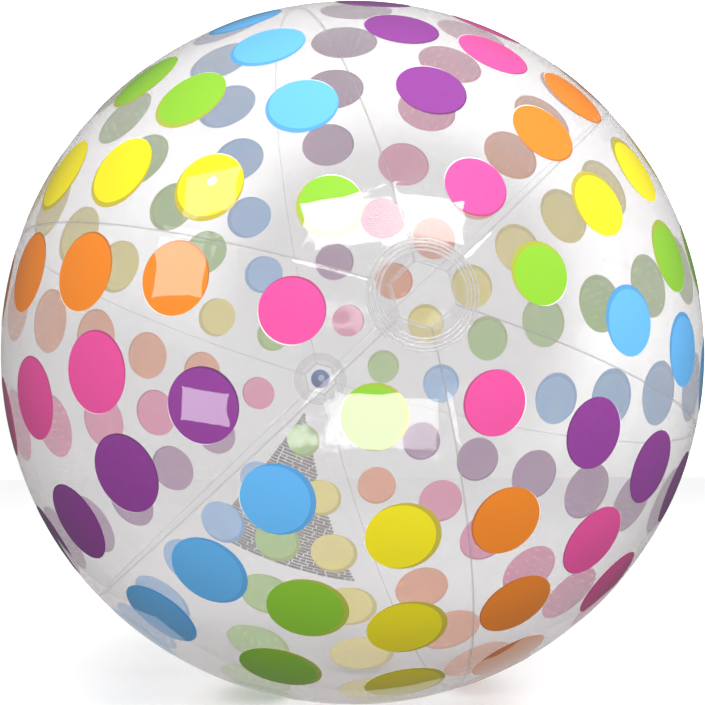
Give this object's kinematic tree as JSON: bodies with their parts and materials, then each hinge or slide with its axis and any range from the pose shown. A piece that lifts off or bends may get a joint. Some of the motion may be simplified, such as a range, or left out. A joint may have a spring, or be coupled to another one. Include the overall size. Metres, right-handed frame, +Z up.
{
  "type": "inflatable beach ball",
  "caption": "Inflated beach ball of six clear welded film gores with printed dots, a disc over each pole, and a push-in valve with a strapped plug and a check flap.",
  "frame": {"origin": "centre of the inflated ball", "axes": "+Z up; the pole axis is Y, with the plain pole disc facing -Y and the valve facing +Y, and +X to the right as seen from the plain pole"},
  "size_m": [0.68, 0.6808, 0.68],
  "materials": {
    "clear_film": "clear soft vinyl film, glossy",
    "disc_film": "clear vinyl film with raised weld rings",
    "valve_vinyl": "soft translucent blue vinyl",
    "plug_vinyl": "soft blue vinyl, satin",
    "flap_vinyl": "soft clear vinyl"
  },
  "bodies": {
    "root": {"gore_1": "clear_film", "gore_2": "clear_film", "gore_3": "clear_film", "gore_4": "clear_film", "gore_5": "clear_film", "gore_6": "clear_film", "front_pole_disc": "disc_film", "back_pole_disc": "disc_film", "valve_flange": "valve_vinyl", "valve_diaphragm": "valve_vinyl"},
    "stem": {"valve_stem": "valve_vinyl"},
    "plug": {"valve_plug": "plug_vinyl", "plug_strap": "plug_vinyl"},
    "flap": {"check_flap": "flap_vinyl"}
  },
  "joints": [
    {"name": "stem_slide", "type": "slide", "parent": "root", "child": "stem", "axis": [0, 1, 0], "range_m": [0, 0.0125]},
    {"name": "plug_hinge", "type": "hinge", "parent": "stem", "child": "plug", "pos_m": [-0.0077, 0.3391, 0], "axis": [0, 0, 1], "range_deg": [0, 100]},
    {"name": "flap_hinge", "type": "hinge", "parent": "stem", "child": "flap", "pos_m": [-0.0049, 0.3257, 0], "axis": [0, 0, -1], "range_deg": [0, 60]}
  ]
}
